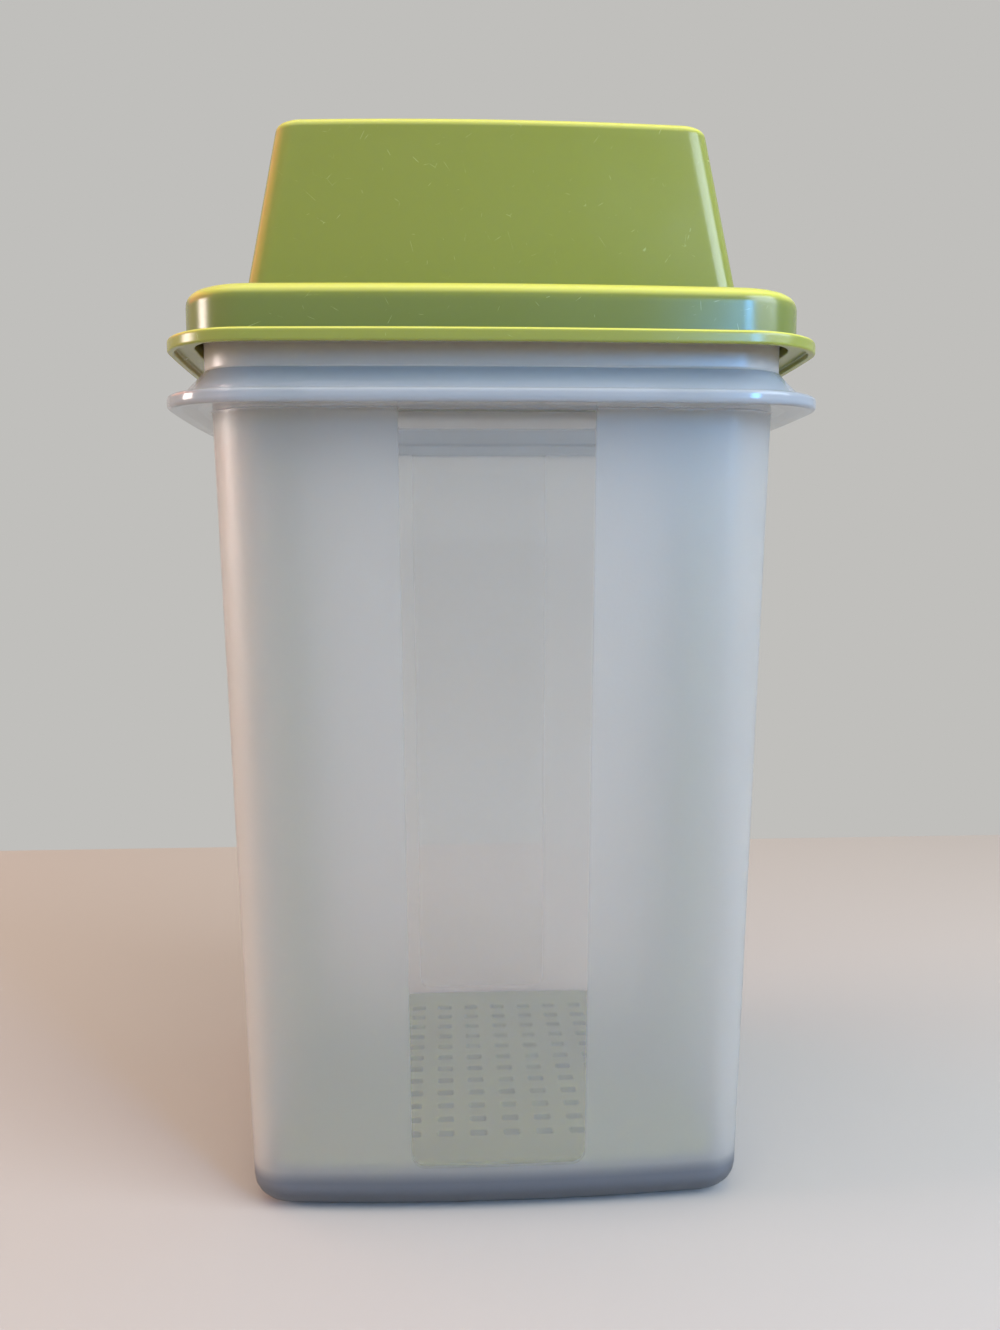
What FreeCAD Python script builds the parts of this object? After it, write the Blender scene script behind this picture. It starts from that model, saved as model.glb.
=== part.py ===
import FreeCAD, Part
import math
import os
import Sketcher
from FreeCAD import Placement, Rotation, Vector

# Pickle keeper: a tall square container with a flanged neck, a lid with a high
# hollow hump, and a strainer that is lifted out by a handle under the hump.
# Origin: middle of the footprint, on the resting face. +Z up, the wide side along X.

document = FreeCAD.newDocument("pickle_keeper")


# ---------------------------------------------------------------- driving sizes
sizes = document.addObject("Spreadsheet::Sheet", "Sizes")
driving_sizes = {
    # container, over the crowns of its walls
    "body_top_width": 140.0,
    "body_top_depth": 131.6,
    "body_base_width": 129.4,
    "flange_height": 199.5,
    "wall": 2.0,
    "floor_thickness": 2.2,
    "wall_crown": 3.2,
    "base_corner": 9.0,
    "base_radius": 7.0,
    "base_recess": 1.2,
    "base_ring": 4.0,
    # flange, flare and neck
    "flange_overhang": 9.7,
    "flange_thickness": 3.3,
    "flange_edge": 1.2,
    "neck_offset": 1.3,
    "neck_corner": 13.6,
    "neck_height": 25.6,
    "flare_reach": 5.2,
    "flare_rise": 5.9,
    "groove_reach": 4.5,
    "groove_rise": 5.1,
    "rim_bead": 0.6,
    "rim_bead_height": 3.0,
    "rim_edge": 0.5,
    # lid
    "lid_wall": 1.8,
    "lid_drop": 12.3,
    "skirt_gap": 1.9,
    "skirt_edge": 3.5,
    "brim_reach": 4.3,
    "brim_thickness": 1.8,
    "lip_height": 3.1,
    "lip_wall": 1.6,
    "plug_gap": 0.3,
    "plug_wall": 1.6,
    "plug_depth": 10.0,
    # hump of the lid
    "hump_height": 42.5,
    "hump_shoulder": 13.2,
    "hump_shoulder_depth": 14.4,
    "hump_draft": 7.6,
    "hump_draft_depth": 6.0,
    "hump_crown": 2.6,
    "hump_corner": 6.0,
    "hump_top_edge": 2.5,
    # strainer tray
    "tray_height": 11.6,
    "tray_thickness": 2.0,
    "tray_gap": 2.8,
    "tray_corner": 9.0,
    "tray_edge": 0.6,
    "slot_length": 4.5,
    "slot_width": 3.2,
    "slot_corner": 0.8,
    "slot_columns": 12,
    "slot_rows": 12,
    "slot_margin_x": 7.0,
    "slot_margin_y": 10.2,
    "foot_radius": 3.0,
    "foot_spread": 60.0,
    "foot_inset": 7.0,
    # lift handle
    "strap_width": 38.0,
    "strap_thickness": 2.0,
    "strap_rib": 3.4,
    "strap_inset": 2.3,
    "strap_straight": 8.0,
    "shoulder_gap": 6.6,
    "shoulder_drop": 4.6,
    "shoulder_bend": 16.0,
    "shoulder_run": 12.4,
    "shoulder_rise": 15.1,
    "arm_bend": 12.0,
    "grip_inset": 2.1,
    "grip_gap": 7.4,
    "grip_bend": 9.0,
    "tongue_width": 24.0,
    "tongue_gap": 0.3,
    "toe_reach": 1.1,
    "toe_height": 2.4,
}
for row, (alias, value) in enumerate(driving_sizes.items(), start=1):
    sizes.set(f"A{row}", alias.replace("_", " "))
    sizes.set(f"B{row}", str(value))
    sizes.setAlias(f"B{row}", alias)
document.recompute()


# ------------------------------------------------------- places worked out from them
places = document.addObject("Spreadsheet::Sheet", "Places")
worked_out = {
    # heights, from the table up
    "floor_top": "=Sizes.base_recess + Sizes.floor_thickness",
    "flange_top": "=Sizes.flange_height + Sizes.flange_thickness",
    "rim_top": "=Sizes.flange_height + Sizes.neck_height",
    "deck_top": "=rim_top + Sizes.lid_wall",
    "lip_bottom": "=rim_top - Sizes.lid_drop",
    "hump_top": "=deck_top + Sizes.hump_height",
    "tray_bottom": "=Sizes.tray_height - Sizes.tray_thickness",
    # half widths (x) and half depths (y); the walls lean out equally all round
    "top_x": "=Sizes.body_top_width / 2",
    "top_y": "=Sizes.body_top_depth / 2",
    "base_x": "=Sizes.body_base_width / 2",
    "base_y": "=top_y - top_x + base_x",
    "wall_slope": "=(top_x - base_x) / Sizes.flange_height",
    "mouth_spread": "=wall_slope * flange_top - Sizes.wall",
    "tray_spread": "=wall_slope * tray_bottom - Sizes.wall - Sizes.tray_gap",
    "tray_x": "=base_x + tray_spread",
    "tray_y": "=base_y + tray_spread",
    "neck_x": "=top_x + Sizes.neck_offset",
    "neck_y": "=top_y + Sizes.neck_offset",
    "bore_x": "=neck_x - Sizes.wall",
    "bore_y": "=neck_y - Sizes.wall",
    "bore_corner": "=Sizes.neck_corner - Sizes.wall",
    "flange_x": "=top_x + Sizes.flange_overhang",
    "flange_y": "=top_y + Sizes.flange_overhang",
    "skirt_spread": "=Sizes.skirt_gap + Sizes.lid_wall",
    "skirt_x": "=neck_x + skirt_spread",
    "skirt_y": "=neck_y + skirt_spread",
    "skirt_corner": "=Sizes.neck_corner + skirt_spread",
    "hump_base_x": "=skirt_x - Sizes.hump_shoulder",
    "hump_base_y": "=skirt_y - Sizes.hump_shoulder_depth",
    "hump_top_x": "=hump_base_x - Sizes.hump_draft",
    "hump_top_y": "=hump_base_y - Sizes.hump_draft_depth",
    # the drain slots share the tray between its margins
    "slot_pitch_x": "=2 * (tray_x - Sizes.slot_margin_x) / Sizes.slot_columns",
    "slot_pitch_y": "=2 * (tray_y - Sizes.slot_margin_y) / Sizes.slot_rows",
    # middle surface of the handle's strap, right half
    "half_strap": "=Sizes.strap_thickness / 2",
    "strap_foot_x": "=tray_x - Sizes.strap_inset - half_strap",
    "strap_lean": "=Sizes.tray_height + Sizes.strap_straight",
    "shoulder_x": "=bore_x - Sizes.plug_gap - Sizes.plug_wall - Sizes.shoulder_gap",
    "shoulder_top": "=rim_top - Sizes.shoulder_drop",
    "arm_x": "=shoulder_x - Sizes.shoulder_run",
    "arm_bottom": "=shoulder_top + Sizes.shoulder_rise",
    "grip_x": "=arm_x - Sizes.grip_inset",
    "grip_top": "=hump_top - Sizes.lid_wall - Sizes.grip_gap",
}
for row, (alias, formula) in enumerate(worked_out.items(), start=1):
    places.set(f"A{row}", alias.replace("_", " "))
    places.set(f"B{row}", formula)
    places.setAlias(f"B{row}", alias)
    document.recompute()


# ------------------------------------------------------------------ sketch helpers
def number(expression):
    """The value that an expression on the two sheets has now."""
    return float(sizes.evalExpression(expression))


def new_body(name):
    body = document.addObject("PartDesign::Body", name)
    body.Label = name
    return body


def new_sketch(body, name, plane="XY_Plane", height=None):
    """A sketch on one of the body's origin planes, lifted to a height."""
    sketch = body.newObject("Sketcher::SketchObject", name)
    for feature in body.Origin.OriginFeatures:
        if feature.Role == plane:
            sketch.AttachmentSupport = [(feature, "")]
    sketch.MapMode = "FlatFace"
    if height:
        sketch.setExpression("AttachmentOffset.Base.z", height)
    return sketch


def constrain(sketch, rules):
    """Adds (constraint, expression) pairs; an expression ties the constraint to the sheets."""
    indices = sketch.addConstraint([constraint for constraint, _ in rules])
    for index, (_, expression) in zip(indices, rules):
        if expression is not None:
            sketch.setExpression(f"Constraints[{index}]", expression)


def pinned(geometry, point, x, y):
    """Rules that place a point of the sketch at two expressions from the origin."""
    return [
        (Sketcher.Constraint("DistanceX", -1, 1, geometry, point, number(x)), x),
        (Sketcher.Constraint("DistanceY", -1, 1, geometry, point, number(y)), y),
    ]


def corner_arc(before, corner, after, radius):
    """The arc that rounds the corner between two straight runs, and its two ends."""
    first = (before - corner).normalize()
    second = (after - corner).normalize()
    half_angle = first.getAngle(second) / 2
    middle = (first + second).normalize()
    centre = corner + middle * (radius / math.sin(half_angle))
    start = corner + first * (radius / math.tan(half_angle))
    end = corner + second * (radius / math.tan(half_angle))
    return Part.Arc(start, centre - middle * radius, end), start, end


def rounded_path(sketch, corners, closed=True):
    """Straight runs through corners given as (x, y, radius) expressions.

    A corner whose radius is None stays sharp. Each corner is pinned by a point
    on which both of its runs lie, and its arc is tangent to both runs.
    """
    points = [Vector(number(x), number(y), 0) for x, y, _ in corners]
    count = len(points)
    leaves = list(points)
    arrives = list(points)
    arcs = {}
    for i, (_, _, radius) in enumerate(corners):
        if radius is not None:
            after = points[(i + 1) % count]
            arc, arrives[i], leaves[i] = corner_arc(points[i - 1], points[i], after, number(radius))
            arcs[i] = sketch.addGeometry(arc)
    runs = []
    for i in range(count if closed else count - 1):
        run = Part.LineSegment(leaves[i], arrives[(i + 1) % count])
        runs.append(sketch.addGeometry(run))
    rules = []
    for i, (x, y, radius) in enumerate(corners):
        mark = sketch.addGeometry(Part.Point(points[i]), True)
        rules += pinned(mark, 1, x, y)
        sides = []
        if closed or i > 0:
            sides.append((runs[i - 1], 2, arrives[i]))
        if closed or i < count - 1:
            sides.append((runs[i], 1, leaves[i]))
        for run, end, place in sides:
            if i not in arcs:
                rules.append((Sketcher.Constraint("Coincident", run, end, mark, 1), None))
                continue
            starts_here = (sketch.getPoint(arcs[i], 1) - place).Length < radius_share(radius)
            arc_end = 1 if starts_here else 2
            rules.append((Sketcher.Constraint("Tangent", run, end, arcs[i], arc_end), None))
            rules.append((Sketcher.Constraint("PointOnObject", mark, 1, run), None))
        if i in arcs:
            rules.append((Sketcher.Constraint("Radius", arcs[i], number(radius)), radius))
    constrain(sketch, rules)


def radius_share(radius):
    """A distance much smaller than an arc, to tell its two ends apart."""
    return number(radius) / 1000


def mirrored_corners(half_x, half_y, radius):
    """Corners of a rectangle centred on the origin."""
    left = f"-({half_x})"
    low = f"-({half_y})"
    return [(half_x, half_y, radius), (left, half_y, radius), (left, low, radius), (half_x, low, radius)]


def crowned_rectangle(body, name, height, half_x, half_y, crown, radius):
    """A sketch of a rectangle whose sides bulge outwards by the crown.

    Half sizes are taken at the middle of each side. A side is an arc that falls
    back by the crown at the corner, and each corner is an arc tangent to both.
    """
    sketch = new_sketch(body, name, height=height)
    a, b, c, r = (number(text) for text in (half_x, half_y, crown, radius))
    sweep_x = (b * b + c * c) / (2 * c)
    sweep_y = (a * a + c * c) / (2 * c)
    centre_x = Vector(a - sweep_x, 0, 0)
    centre_y = Vector(0, b - sweep_y, 0)
    # each corner's centre lies one corner radius inside both side arcs
    span = (centre_x - centre_y).Length
    reach_x = sweep_x - r
    reach_y = sweep_y - r
    along = (reach_y**2 - reach_x**2 + span**2) / (2 * span)
    across = math.sqrt(reach_y**2 - along**2)
    forward = (centre_x - centre_y).normalize()
    sideways = Vector(forward.y, -forward.x, 0)
    corner = centre_y + forward * along + sideways * across
    turn_x = (corner - centre_x).getAngle(Vector(1, 0, 0))
    turn_y = (corner - centre_y).getAngle(Vector(1, 0, 0))

    def arc(centre, circle_radius, first, last):
        circle = Part.Circle(centre, Vector(0, 0, 1), circle_radius)
        return sketch.addGeometry(Part.ArcOfCircle(circle, first, last))

    # the right side is two arcs that meet on the X axis, where a circle starts and ends
    right = arc(centre_x, sweep_x, 0, turn_x)
    top_right = arc(corner, r, turn_x, turn_y)
    top = arc(centre_y, sweep_y, turn_y, math.pi - turn_y)
    top_left = arc(Vector(-corner.x, corner.y, 0), r, math.pi - turn_y, math.pi - turn_x)
    left = arc(-centre_x, sweep_x, math.pi - turn_x, math.pi + turn_x)
    low_left = arc(-corner, r, math.pi + turn_x, math.pi + turn_y)
    low = arc(-centre_y, sweep_y, math.pi + turn_y, 2 * math.pi - turn_y)
    low_right = arc(Vector(corner.x, -corner.y, 0), r, -turn_y, -turn_x)
    right_low = arc(centre_x, sweep_x, -turn_x, 0)
    loop = [right, top_right, top, top_left, left, low_left, low, low_right, right_low]
    rules = [
        (Sketcher.Constraint("Coincident", right_low, 2, right, 1), None),
        (Sketcher.Constraint("Coincident", right_low, 3, right, 3), None),
        (Sketcher.Constraint("PointOnObject", right, 1, -1), None),
    ]
    for before, after in zip(loop, loop[1:]):
        rules.append((Sketcher.Constraint("Tangent", before, 2, after, 1), None))
    sweep_x_text = f"(({half_y})^2 + ({crown})^2) / (2 * ({crown}))"
    sweep_y_text = f"(({half_x})^2 + ({crown})^2) / (2 * ({crown}))"
    for edge in (right, left):
        rules.append((Sketcher.Constraint("Radius", edge, sweep_x), sweep_x_text))
    for edge in (top, low):
        rules.append((Sketcher.Constraint("Radius", edge, sweep_y), sweep_y_text))
    for edge in (top_right, top_left, low_left, low_right):
        rules.append((Sketcher.Constraint("Radius", edge, r), radius))
    rules += pinned(right, 3, f"({half_x}) - {sweep_x_text}", "0")
    rules += pinned(left, 3, f"{sweep_x_text} - ({half_x})", "0")
    rules += pinned(top, 3, "0", f"({half_y}) - {sweep_y_text}")
    rules += pinned(low, 3, "0", f"{sweep_y_text} - ({half_y})")
    constrain(sketch, rules)
    return sketch


# ---------------------------------------------------------------- feature helpers
def loft(body, name, kind, bottom, top):
    feature = body.newObject(f"PartDesign::{kind}Loft", name)
    feature.Profile = bottom
    feature.Sections = [top]
    feature.Ruled = True
    document.recompute()


def pad(body, name, sketch, length, downwards=False, both_ways=False, draft=None):
    """Material raised from a sketch. A draft angle widens it when positive."""
    feature = body.newObject("PartDesign::Pad", name)
    feature.Profile = sketch
    feature.setExpression("Length", length)
    feature.Reversed = downwards
    feature.Midplane = both_ways
    if draft:
        feature.setExpression("TaperAngle", draft)
    document.recompute()


def pocket(body, name, sketch, depth, upwards=False, draft=None):
    """A cut from a sketch. It has to take material away, or its direction is wrong."""
    before = body.Tip.Shape.Volume
    feature = body.newObject("PartDesign::Pocket", name)
    feature.Profile = sketch
    feature.setExpression("Length", depth)
    feature.Reversed = upwards
    if draft:
        feature.setExpression("TaperAngle", draft)
    document.recompute()
    if not feature.Shape.Volume < before:
        raise RuntimeError(f"{name} cuts nothing")
    return feature


def round_edges(body, name, heights, radius, beyond="0"):
    """Rounds the level edges of the body's last feature at some heights.

    Only edges that reach farther than a given half width from the Z axis count.
    """
    base = body.Tip
    levels = [number(height) for height in heights]
    limit = number(beyond)
    tolerance = 0.01
    names = []
    for index, edge in enumerate(base.Shape.Edges, start=1):
        box = edge.BoundBox
        farthest = max(abs(box.XMin), abs(box.XMax), abs(box.YMin), abs(box.YMax))
        flat = box.ZLength < tolerance
        if flat and farthest > limit and min(abs(box.ZMin - level) for level in levels) < tolerance:
            names.append(f"Edge{index}")
    if not names:
        raise RuntimeError(f"{name} finds no edge")
    feature = body.newObject("PartDesign::Fillet", name)
    feature.Base = (base, names)
    feature.setExpression("Radius", radius)
    document.recompute()


# ---------------------------------------------------------------------- container
def make_container():
    body = new_body("container")
    crown = "Sizes.wall_crown"
    wall_draft = "atan(Places.wall_slope)"

    # outer walls, leaning out from the base to the flange
    base = crowned_rectangle(
        body, "BaseOutline", None, "Places.base_x", "Places.base_y", crown, "Sizes.base_corner"
    )
    pad(body, "OuterWalls", base, "Sizes.flange_height", draft=wall_draft)
    round_edges(body, "BaseEdge", ["0"], "Sizes.base_radius")

    # flange round the mouth, concentric with the neck
    flange = crowned_rectangle(
        body,
        "FlangeOutline",
        "Sizes.flange_height",
        "Places.flange_x",
        "Places.flange_y",
        crown,
        "Sizes.neck_corner + Places.flange_x - Places.neck_x",
    )
    pad(body, "Flange", flange, "Sizes.flange_thickness")
    halfway_out = "Places.top_x + Sizes.flange_overhang / 2"
    both_faces = ["Sizes.flange_height", "Places.flange_top"]
    round_edges(body, "FlangeEdge", both_faces, "Sizes.flange_edge", beyond=halfway_out)

    # flare that leans in from the flange, neck above it, bead round the rim
    flare = crowned_rectangle(
        body,
        "FlareOutline",
        "Places.flange_top",
        "Places.neck_x + Sizes.flare_reach",
        "Places.neck_y + Sizes.flare_reach",
        crown,
        "Sizes.neck_corner + Sizes.flare_reach",
    )
    flare_draft = "-atan(Sizes.flare_reach / Sizes.flare_rise)"
    into_wall = "Sizes.wall / 2"
    pad(body, "Flare", flare, f"Sizes.flare_rise + {into_wall}", draft=flare_draft)
    neck = crowned_rectangle(
        body,
        "NeckOutline",
        "Places.flange_top",
        "Places.neck_x",
        "Places.neck_y",
        crown,
        "Sizes.neck_corner",
    )
    pad(body, "Neck", neck, "Places.rim_top - Places.flange_top")
    bead = crowned_rectangle(
        body,
        "BeadOutline",
        "Places.rim_top",
        "Places.neck_x + Sizes.rim_bead",
        "Places.neck_y + Sizes.rim_bead",
        crown,
        "Sizes.neck_corner + Sizes.rim_bead",
    )
    pad(body, "RimBead", bead, "Sizes.rim_bead_height", downwards=True)

    # the hollow: drafted walls, a straight bore, a groove behind the flare
    mouth = crowned_rectangle(
        body,
        "MouthOutline",
        "Places.flange_top",
        "Places.base_x + Places.mouth_spread",
        "Places.base_y + Places.mouth_spread",
        crown,
        "Sizes.base_corner + Places.mouth_spread",
    )
    hollow_depth = "Places.flange_top - Places.floor_top"
    pocket(body, "Hollow", mouth, hollow_depth, draft=f"-{wall_draft}")
    round_edges(body, "FloorEdge", ["Places.floor_top"], "Sizes.base_radius - Sizes.wall")
    bore = crowned_rectangle(
        body,
        "BoreOutline",
        "Places.flange_top",
        "Places.bore_x",
        "Places.bore_y",
        crown,
        "Places.bore_corner",
    )
    pocket(body, "Bore", bore, "Places.rim_top - Places.flange_top", upwards=True)
    groove = crowned_rectangle(
        body,
        "GrooveOutline",
        "Places.flange_top",
        "Places.bore_x + Sizes.groove_reach",
        "Places.bore_y + Sizes.groove_reach",
        crown,
        "Places.bore_corner + Sizes.groove_reach",
    )
    groove_draft = "-atan(Sizes.groove_reach / Sizes.groove_rise)"
    groove_height = f"Sizes.groove_rise + {into_wall}"
    pocket(body, "Groove", groove, groove_height, upwards=True, draft=groove_draft)
    round_edges(body, "RimEdge", ["Places.rim_top"], "Sizes.rim_edge")

    # shallow recess that leaves a ring to stand on
    ring = "(Sizes.base_radius + Sizes.base_ring)"
    recess = crowned_rectangle(
        body,
        "RecessOutline",
        None,
        f"Places.base_x - {ring}",
        f"Places.base_y - {ring}",
        crown,
        "Sizes.base_corner - Sizes.base_ring",
    )
    pocket(body, "BaseRecess", recess, "Sizes.base_recess", upwards=True)
    return body


# ---------------------------------------------------------------------------- lid
def make_lid():
    body = new_body("lid")
    crown = "Sizes.wall_crown"

    # skirt that stands round the neck, and brim round its foot
    skirt = crowned_rectangle(
        body,
        "SkirtOutline",
        "Places.lip_bottom",
        "Places.skirt_x",
        "Places.skirt_y",
        crown,
        "Places.skirt_corner",
    )
    pad(body, "Skirt", skirt, "Places.deck_top - Places.lip_bottom")
    round_edges(body, "SkirtEdge", ["Places.deck_top"], "Sizes.skirt_edge")
    brim = crowned_rectangle(
        body,
        "BrimOutline",
        "Places.lip_bottom",
        "Places.skirt_x + Sizes.brim_reach",
        "Places.skirt_y + Sizes.brim_reach",
        crown,
        "Places.skirt_corner + Sizes.brim_reach",
    )
    pad(body, "Brim", brim, "Sizes.lip_height")

    hump_base = crowned_rectangle(
        body,
        "HumpBase",
        "Places.deck_top",
        "Places.hump_base_x",
        "Places.hump_base_y",
        "Sizes.hump_crown",
        "Sizes.hump_corner",
    )
    hump_crest = crowned_rectangle(
        body,
        "HumpCrest",
        "Places.hump_top",
        "Places.hump_top_x",
        "Places.hump_top_y",
        "Sizes.hump_crown",
        "Sizes.hump_corner",
    )
    loft(body, "Hump", "Additive", hump_base, hump_crest)
    round_edges(body, "HumpEdge", ["Places.hump_top"], "Sizes.hump_top_edge")

    # hollow of the skirt, and a recess under the brim that leaves a lip
    channel = crowned_rectangle(
        body,
        "ChannelOutline",
        "Places.lip_bottom",
        "Places.skirt_x - Sizes.lid_wall",
        "Places.skirt_y - Sizes.lid_wall",
        crown,
        "Places.skirt_corner - Sizes.lid_wall",
    )
    pocket(body, "Channel", channel, "Places.rim_top - Places.lip_bottom", upwards=True)
    lip_spread = "(Sizes.brim_reach - Sizes.lip_wall)"
    recess = crowned_rectangle(
        body,
        "UnderBrimOutline",
        "Places.lip_bottom",
        f"Places.skirt_x + {lip_spread}",
        f"Places.skirt_y + {lip_spread}",
        crown,
        f"Places.skirt_corner + {lip_spread}",
    )
    pocket(body, "UnderBrim", recess, "Sizes.lip_height - Sizes.brim_thickness", upwards=True)

    # plug wall that goes down inside the neck
    plug = crowned_rectangle(
        body,
        "PlugOutline",
        "Places.rim_top",
        "Places.bore_x - Sizes.plug_gap",
        "Places.bore_y - Sizes.plug_gap",
        crown,
        "Places.bore_corner - Sizes.plug_gap",
    )
    pad(body, "Plug", plug, "Sizes.plug_depth", downwards=True)
    plug_inset = "(Sizes.plug_gap + Sizes.plug_wall)"
    plug_hollow = crowned_rectangle(
        body,
        "PlugHollowOutline",
        "Places.rim_top - Sizes.plug_depth",
        f"Places.bore_x - {plug_inset}",
        f"Places.bore_y - {plug_inset}",
        crown,
        f"Places.bore_corner - {plug_inset}",
    )
    pocket(body, "PlugHollow", plug_hollow, "Sizes.plug_depth", upwards=True)

    # inside of the hump, one wall thickness in
    side_shift = "Sizes.lid_wall * (Sizes.hump_draft / Sizes.hump_height - 1)"
    front_shift = "Sizes.lid_wall * (Sizes.hump_draft_depth / Sizes.hump_height - 1)"
    cave_base = crowned_rectangle(
        body,
        "CaveBase",
        "Places.rim_top",
        f"Places.hump_base_x + {side_shift}",
        f"Places.hump_base_y + {front_shift}",
        "Sizes.hump_crown",
        "Sizes.hump_corner - Sizes.lid_wall",
    )
    cave_crest = crowned_rectangle(
        body,
        "CaveCrest",
        "Places.hump_top - Sizes.lid_wall",
        f"Places.hump_top_x + {side_shift}",
        f"Places.hump_top_y + {front_shift}",
        "Sizes.hump_crown",
        "Sizes.hump_corner - Sizes.lid_wall",
    )
    loft(body, "Cave", "Subtractive", cave_base, cave_crest)
    return body


# ------------------------------------------------------------------- strainer tray
def make_tray():
    body = new_body("strainer_tray")
    outline = crowned_rectangle(
        body,
        "TrayOutline",
        "Places.tray_bottom",
        "Places.tray_x",
        "Places.tray_y",
        "Sizes.wall_crown",
        "Sizes.tray_corner",
    )
    pad(body, "Plate", outline, "Sizes.tray_thickness")
    both_faces = ["Sizes.tray_height", "Places.tray_bottom"]
    round_edges(body, "PlateEdge", both_faces, "Sizes.tray_edge")

    # feet that keep the food above the drained brine
    feet = new_sketch(body, "FeetOutline", height="Places.tray_bottom")
    rules = []
    for x, y, _ in mirrored_corners("Sizes.foot_spread / 2", "Places.tray_y - Sizes.foot_inset", None):
        centre = Vector(number(x), number(y), 0)
        circle = Part.Circle(centre, Vector(0, 0, 1), number("Sizes.foot_radius"))
        foot = feet.addGeometry(circle)
        rules.append((Sketcher.Constraint("Radius", foot, circle.Radius), "Sizes.foot_radius"))
        rules += pinned(foot, 3, x, y)
    constrain(feet, rules)
    pad(body, "Feet", feet, "Places.tray_bottom - Places.floor_top", downwards=True)

    # slots for the handle's tongues, one at each side
    tongue_slots = new_sketch(body, "TongueSlots", height="Sizes.tray_height")
    half_gap = "(Places.half_strap + Sizes.tongue_gap)"
    half_width = "(Sizes.tongue_width / 2 + Sizes.tongue_gap)"
    for side in ("", "-"):
        near = f"{side}(Places.strap_foot_x - {half_gap})"
        far = f"{side}(Places.strap_foot_x + {half_gap})"
        ring = [
            (near, half_width, None),
            (far, half_width, None),
            (far, f"-{half_width}", None),
            (near, f"-{half_width}", None),
        ]
        rounded_path(tongue_slots, ring)
    pocket(body, "TongueHoles", tongue_slots, "Sizes.tray_thickness")

    # drain slots: the one at the near left corner, repeated across and back
    first_x = "((Sizes.slot_columns - 1) / 2 * Places.slot_pitch_x)"
    first_y = "((Sizes.slot_rows - 1) / 2 * Places.slot_pitch_y)"
    slot = new_sketch(body, "SlotOutline", height="Sizes.tray_height")
    half_length = "Sizes.slot_length / 2"
    half_width = "Sizes.slot_width / 2"
    ring = []
    for x, y, radius in mirrored_corners(half_length, half_width, "Sizes.slot_corner"):
        ring.append((f"{x} - {first_x}", f"{y} - {first_y}", radius))
    rounded_path(slot, ring)
    first_slot = pocket(body, "DrainSlot", slot, "Sizes.tray_thickness")
    grid = body.newObject("PartDesign::MultiTransform", "SlotGrid")
    grid.Originals = [first_slot]
    steps = []
    for name, axis, count, pitch in (
        ("SlotColumns", "H_Axis", "Sizes.slot_columns", "Places.slot_pitch_x"),
        ("SlotRows", "V_Axis", "Sizes.slot_rows", "Places.slot_pitch_y"),
    ):
        step = document.addObject("PartDesign::LinearPattern", name)
        step.Direction = (slot, [axis])
        step.setExpression("Length", f"({count} - 1) * {pitch}")
        step.setExpression("Occurrences", count)
        steps.append(step)
    grid.Transformations = steps
    body.Tip = grid
    document.recompute()
    return body


# --------------------------------------------------------------------- lift handle
def make_handle():
    body = new_body("lift_handle")

    # the strap's run: up the left wall, in over the shoulder, across the grip, down again
    right_half = [
        ("Places.strap_foot_x", "Sizes.tray_height", None),
        ("Places.strap_foot_x", "Places.strap_lean", "Sizes.shoulder_bend"),
        ("Places.shoulder_x", "Places.shoulder_top", "Sizes.shoulder_bend"),
        ("Places.arm_x", "Places.arm_bottom", "Sizes.arm_bend"),
        ("Places.grip_x", "Places.grip_top", "Sizes.grip_bend"),
    ]
    left_half = [(f"-{x}", y, radius) for x, y, radius in right_half]
    run = new_sketch(body, "StrapRun", plane="XZ_Plane")
    rounded_path(run, left_half + right_half[::-1], closed=False)

    # channel section: a flat web with a rib along each edge, on the inner side
    section = new_sketch(body, "StrapSection", height="Sizes.tray_height")
    outer = "-(Places.strap_foot_x + Places.half_strap)"
    inner = "-(Places.strap_foot_x - Places.half_strap)"
    rib = "-(Places.strap_foot_x - Places.half_strap - Sizes.strap_rib)"
    edge = "(Sizes.strap_width / 2)"
    web = "(Sizes.strap_width / 2 - Sizes.strap_thickness)"
    channel = [
        (outer, edge, None),
        (outer, f"-{edge}", None),
        (rib, f"-{edge}", None),
        (rib, f"-{web}", None),
        (inner, f"-{web}", None),
        (inner, web, None),
        (rib, web, None),
        (rib, edge, None),
    ]
    rounded_path(section, channel)
    strap = body.newObject("PartDesign::AdditivePipe", "Strap")
    strap.Profile = section
    strap.Spine = run
    strap.Mode = "Standard"
    document.recompute()

    # tongues through the tray, each with a toe that snaps under it
    tongues = new_sketch(body, "TongueOutline", plane="XZ_Plane")
    toe_bottom = "Places.tray_bottom - Sizes.toe_height"
    for side in ("", "-"):
        near = f"{side}(Places.strap_foot_x - Places.half_strap)"
        far = f"{side}(Places.strap_foot_x + Places.half_strap)"
        toe = f"{side}(Places.strap_foot_x + Places.half_strap + Sizes.toe_reach)"
        outline = [
            (near, "Sizes.tray_height", None),
            (far, "Sizes.tray_height", None),
            (far, "Places.tray_bottom", None),
            (toe, "Places.tray_bottom", None),
            (far, toe_bottom, None),
            (near, toe_bottom, None),
        ]
        rounded_path(tongues, outline)
    pad(body, "Tongues", tongues, "Sizes.tongue_width", both_ways=True)
    return body


# -------------------------------------------------------------- build, check, write
bodies = [make_container(), make_lid(), make_tray(), make_handle()]
for body in bodies:
    body.Placement = Placement(Vector(0, 0, 0), Rotation())
document.recompute()

for item in document.Objects:
    if "Invalid" in item.State or "Error" in item.State:
        raise RuntimeError(f"{item.Name} is not up to date: {item.State}")
for body in bodies:
    if body.Shape.isNull() or not body.Shape.isValid() or len(body.Shape.Solids) != 1:
        raise RuntimeError(f"{body.Label} is not one valid solid")

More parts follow.
